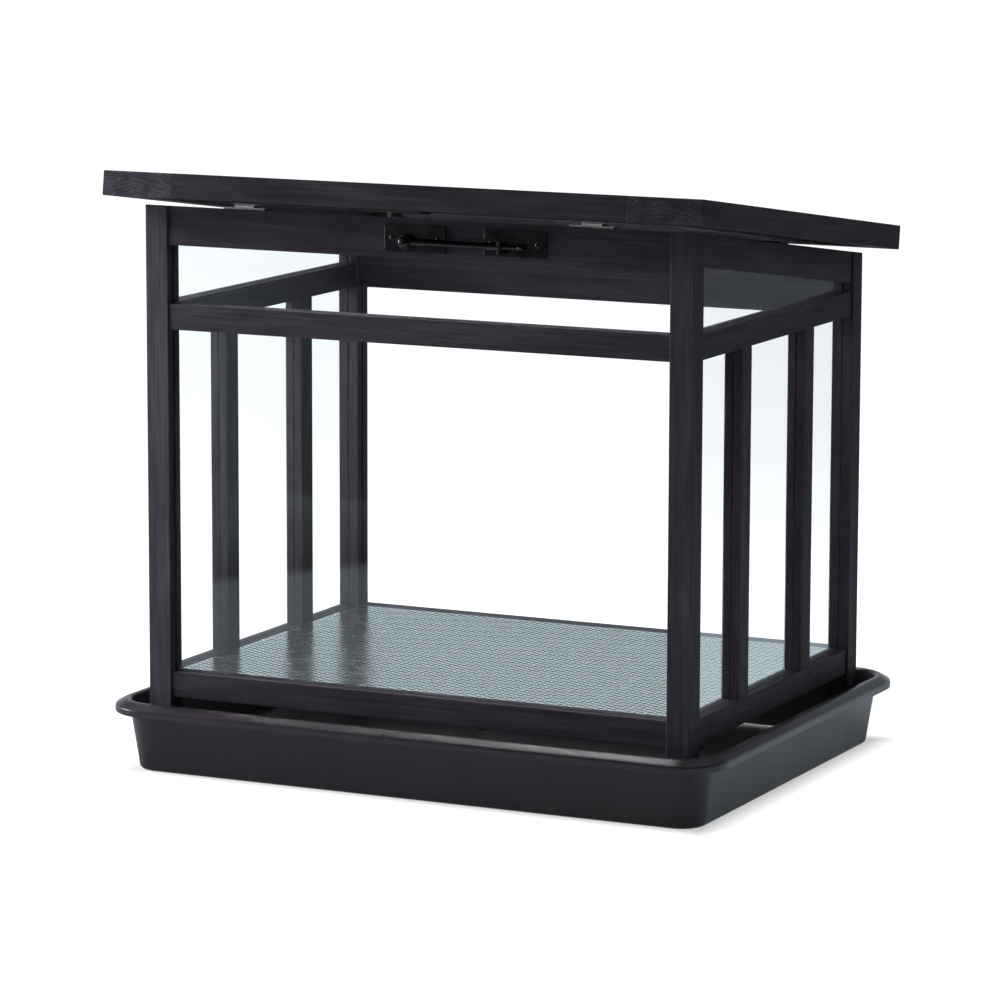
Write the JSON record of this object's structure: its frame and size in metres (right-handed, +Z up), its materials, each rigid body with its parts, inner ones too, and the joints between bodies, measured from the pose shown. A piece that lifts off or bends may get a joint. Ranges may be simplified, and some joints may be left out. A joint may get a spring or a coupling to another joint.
{
  "type": "mini greenhouse",
  "caption": "Small timber greenhouse box with glazed walls, a sloping glazed lid hinged at the rear with a swing-up prop rod, a mesh floor and a plastic drip tray below.",
  "frame": {"origin": "centre of the drip tray's underside, on the surface that the part stands on", "axes": "+Z up, +X to the right along the width, -Y towards the tall front side with the prop rod, +Y towards the hinged rear side"},
  "size_m": [0.6774, 0.5236, 0.615],
  "materials": {
    "stained_timber": "near-black brown stain, satin, open grain",
    "clear_glass": "clear, polished",
    "tray_plastic": "satin black",
    "black_hardware": "gloss black lacquer",
    "bright_steel": "bright plated",
    "mesh_metal": "galvanised"
  },
  "bodies": {
    "tray": {"drip_tray": "tray_plastic"},
    "frame": {"frame_hardware_screws": "black_hardware", "front_bottom_rail": "stained_timber", "front_ledger": "stained_timber", "front_left_post": "stained_timber", "front_lower_pane": "clear_glass", "front_mid_rail": "stained_timber", "front_right_post": "stained_timber", "front_top_rail": "stained_timber", "front_upper_pane": "clear_glass", "hinge_pins": "black_hardware", "left_bottom_rail": "stained_timber", "left_front_slat": "stained_timber", "left_hinge_frame_leaf": "black_hardware", "left_ledger": "stained_timber", "left_lower_centre_pane": "clear_glass", "left_lower_front_pane": "clear_glass", "left_lower_rear_pane": "clear_glass", "left_magnet_catch": "bright_steel", "left_mid_rail": "stained_timber", "left_rear_slat": "stained_timber", "left_top_rail": "stained_timber", "left_upper_pane": "clear_glass", "mesh_floor": "mesh_metal", "prop_pivot_pin": "black_hardware", "prop_pivot_plate": "black_hardware", "prop_rest_plate": "black_hardware", "rear_bottom_rail": "stained_timber", "rear_ledger": "stained_timber", "rear_left_post": "stained_timber", "rear_mid_rail": "stained_timber", "rear_pane": "clear_glass", "rear_right_post": "stained_timber", "rear_top_rail": "stained_timber", "right_bottom_rail": "stained_timber", "right_front_slat": "stained_timber", "right_hinge_frame_leaf": "black_hardware", "right_ledger": "stained_timber", "right_lower_centre_pane": "clear_glass", "right_lower_front_pane": "clear_glass", "right_lower_rear_pane": "clear_glass", "right_magnet_catch": "bright_steel", "right_mid_rail": "stained_timber", "right_rear_slat": "stained_timber", "right_top_rail": "stained_timber", "right_upper_pane": "clear_glass"},
    "lid": {"left_hinge_lid_leaf": "black_hardware", "left_strike_plate": "bright_steel", "lid_front_rail": "stained_timber", "lid_hardware_screws": "black_hardware", "lid_keeper": "black_hardware", "lid_left_stile": "stained_timber", "lid_pane": "clear_glass", "lid_rear_rail": "stained_timber", "lid_right_stile": "stained_timber", "right_hinge_lid_leaf": "black_hardware", "right_strike_plate": "bright_steel"},
    "prop": {"prop_rod": "black_hardware"}
  },
  "joints": [
    {"name": "frame_lift", "type": "slide", "parent": "tray", "child": "frame", "axis": [0, 0, 1], "range_m": [0, 0.09]},
    {"name": "lid_hinge", "type": "hinge", "parent": "frame", "child": "lid", "pos_m": [0, 0.22439, 0.51905], "axis": [-1, 0, 0], "range_deg": [0, 90]},
    {"name": "prop_swing", "type": "hinge", "parent": "frame", "child": "prop", "pos_m": [-0.006, -0.2248, 0.5555], "axis": [0, -1, 0], "range_deg": [0, 90]}
  ],
  "couplings": [
    {"joint": "prop_swing", "follows": "lid_hinge", "ratio": 1}
  ]
}
